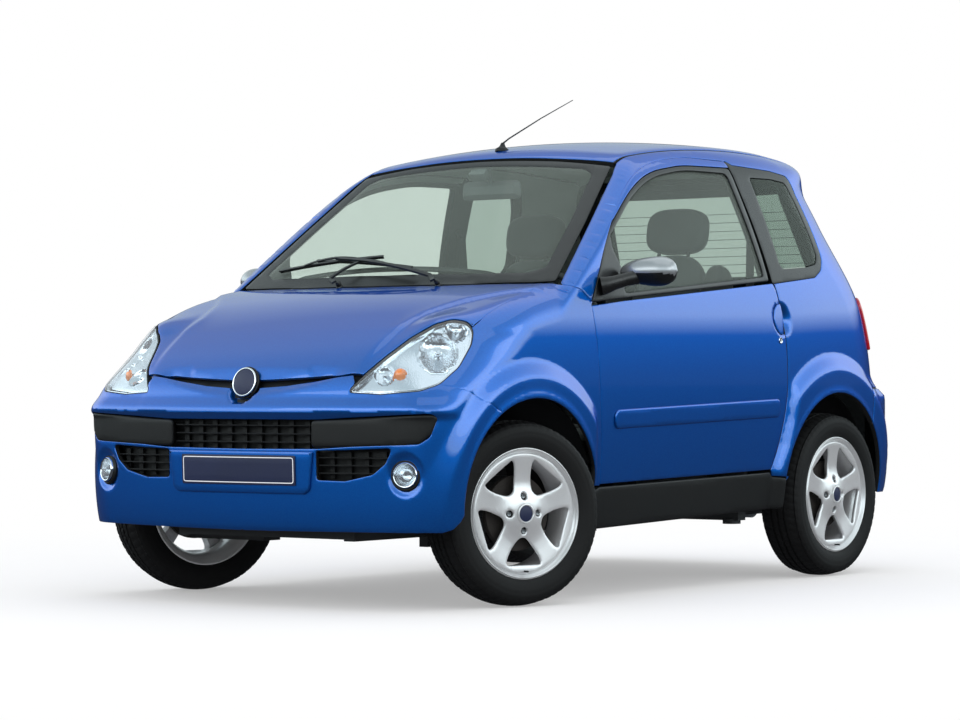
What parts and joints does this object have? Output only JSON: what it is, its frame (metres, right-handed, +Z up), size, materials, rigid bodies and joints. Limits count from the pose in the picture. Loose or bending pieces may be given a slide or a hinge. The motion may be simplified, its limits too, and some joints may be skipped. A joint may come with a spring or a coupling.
{
  "type": "microcar",
  "caption": "Three-door microcar with a short sloping bonnet, moulded body, alloy wheels, opening doors, bonnet and tailgate, steering and rolling wheels.",
  "frame": {"origin": "on the ground below the middle of the body, which is the middle of the bounding box", "axes": "+X to the car's left, +Y to the rear, +Z up"},
  "size_m": [1.768, 2.7777, 1.6332],
  "materials": {
    "body_paint": "metallic mid-blue lacquer on moulded ABS panels",
    "door_paint": "metallic mid-blue lacquer on moulded ABS panels",
    "black_plastic": "grained black polypropylene",
    "frame_paint": "black epoxy on steel tube",
    "glass": "green-tinted safety glass",
    "lamp": "clear polycarbonate lens over chromed reflectors",
    "tail_lamp": "red acrylic lens",
    "tyre": "black tread rubber",
    "alloy": "silver lacquered cast alloy",
    "steel": "plain steel",
    "iron": "rough cast",
    "fabric": "dark grey woven seat cloth",
    "mirror": "silvered glass in a black shell",
    "dash_plastic": "dark grey grained plastic"
  },
  "bodies": {
    "chassis": {"aerial": "black_plastic", "arch_liners": "black_plastic", "body_side_left": "body_paint", "body_side_right": "body_paint", "bumper_inserts": "black_plastic", "cabin_tub": "frame_paint", "chassis_frame": "frame_paint", "cowl_panel": "black_plastic", "dashboard": "dash_plastic", "door_hinges": "steel", "engine_block": "iron", "exhaust": "steel", "fog_lamps": "lamp", "front_bumper": "body_paint", "front_suspension": "frame_paint", "front_wings": "body_paint", "fuel_tank": "dash_plastic", "grilles": "black_plastic", "headlamps": "lamp", "interior_mirror": "mirror", "lid_hinges": "steel", "quarter_windows": "glass", "rear_axle": "frame_paint", "rear_bumper": "body_paint", "roof_panel": "body_paint", "seat_left": "fabric", "seat_right": "fabric", "sills": "black_plastic", "tail_lamps": "tail_lamp", "windscreen": "glass", "wipers": "black_plastic"},
    "door_left": {"door_panel_left": "door_paint", "door_glass_left": "glass", "door_mirror_left": "black_plastic"},
    "door_right": {"door_panel_right": "door_paint", "door_glass_right": "glass", "door_mirror_right": "black_plastic"},
    "bonnet": {"bonnet_panel": "body_paint"},
    "tailgate": {"tailgate_panel": "body_paint", "rear_window": "glass"},
    "steering": {"steering_wheel": "dash_plastic"},
    "knuckle_l": {"knuckle_left": "iron"},
    "knuckle_r": {"knuckle_right": "iron"},
    "wheel_fl": {"front_tyre_left": "tyre", "front_rim_left": "alloy"},
    "wheel_fr": {"front_tyre_right": "tyre", "front_rim_right": "alloy"},
    "wheel_rl": {"rear_tyre_left": "tyre", "rear_rim_left": "alloy"},
    "wheel_rr": {"rear_tyre_right": "tyre", "rear_rim_right": "alloy"}
  },
  "joints": [
    {"name": "door_left_hinge", "type": "hinge", "parent": "chassis", "child": "door_left", "pos_m": [0.698, -0.505, 0.6], "axis": [0, 0, -1], "range_deg": [0, 65]},
    {"name": "door_right_hinge", "type": "hinge", "parent": "chassis", "child": "door_right", "pos_m": [-0.698, -0.505, 0.6], "axis": [0, 0, 1], "range_deg": [0, 65]},
    {"name": "bonnet_hinge", "type": "hinge", "parent": "chassis", "child": "bonnet", "pos_m": [0, -0.693, 0.946], "axis": [-1, 0, 0], "range_deg": [0, 50]},
    {"name": "tailgate_hinge", "type": "hinge", "parent": "chassis", "child": "tailgate", "pos_m": [0, 1.09, 1.402], "axis": [1, 0, 0], "range_deg": [0, 80]},
    {"name": "steer_left", "type": "hinge", "parent": "chassis", "child": "knuckle_l", "pos_m": [0.625, -0.867, 0.278], "axis": [0, 0, 1], "range_deg": [-17.5, 54.5]},
    {"name": "steer_right", "type": "hinge", "parent": "chassis", "child": "knuckle_r", "pos_m": [-0.625, -0.867, 0.278], "axis": [0, 0, 1], "range_deg": [-17.5, 54.5]},
    {"name": "steering_column", "type": "hinge", "parent": "chassis", "child": "steering", "pos_m": [0.3, -0.17, 0.872], "axis": [0, -0.8748, -0.4845], "range_deg": [-763, 245]},
    {"name": "roll_front_left", "type": "hinge", "parent": "knuckle_l", "child": "wheel_fl", "pos_m": [0.625, -0.867, 0.278], "axis": [0.9483, -0.3173, 0], "continuous": true},
    {"name": "roll_front_right", "type": "hinge", "parent": "knuckle_r", "child": "wheel_fr", "pos_m": [-0.625, -0.867, 0.278], "axis": [0.9483, -0.3173, 0], "continuous": true},
    {"name": "roll_rear_left", "type": "hinge", "parent": "chassis", "child": "wheel_rl", "pos_m": [0.643, 0.891, 0.278], "axis": [1, 0, 0], "continuous": true},
    {"name": "roll_rear_right", "type": "hinge", "parent": "chassis", "child": "wheel_rr", "pos_m": [-0.643, 0.891, 0.278], "axis": [1, 0, 0], "continuous": true}
  ],
  "couplings": [
    {"joint": "steer_right", "follows": "steer_left", "ratio": 1},
    {"joint": "steering_column", "follows": "steer_left", "ratio": -14}
  ]
}
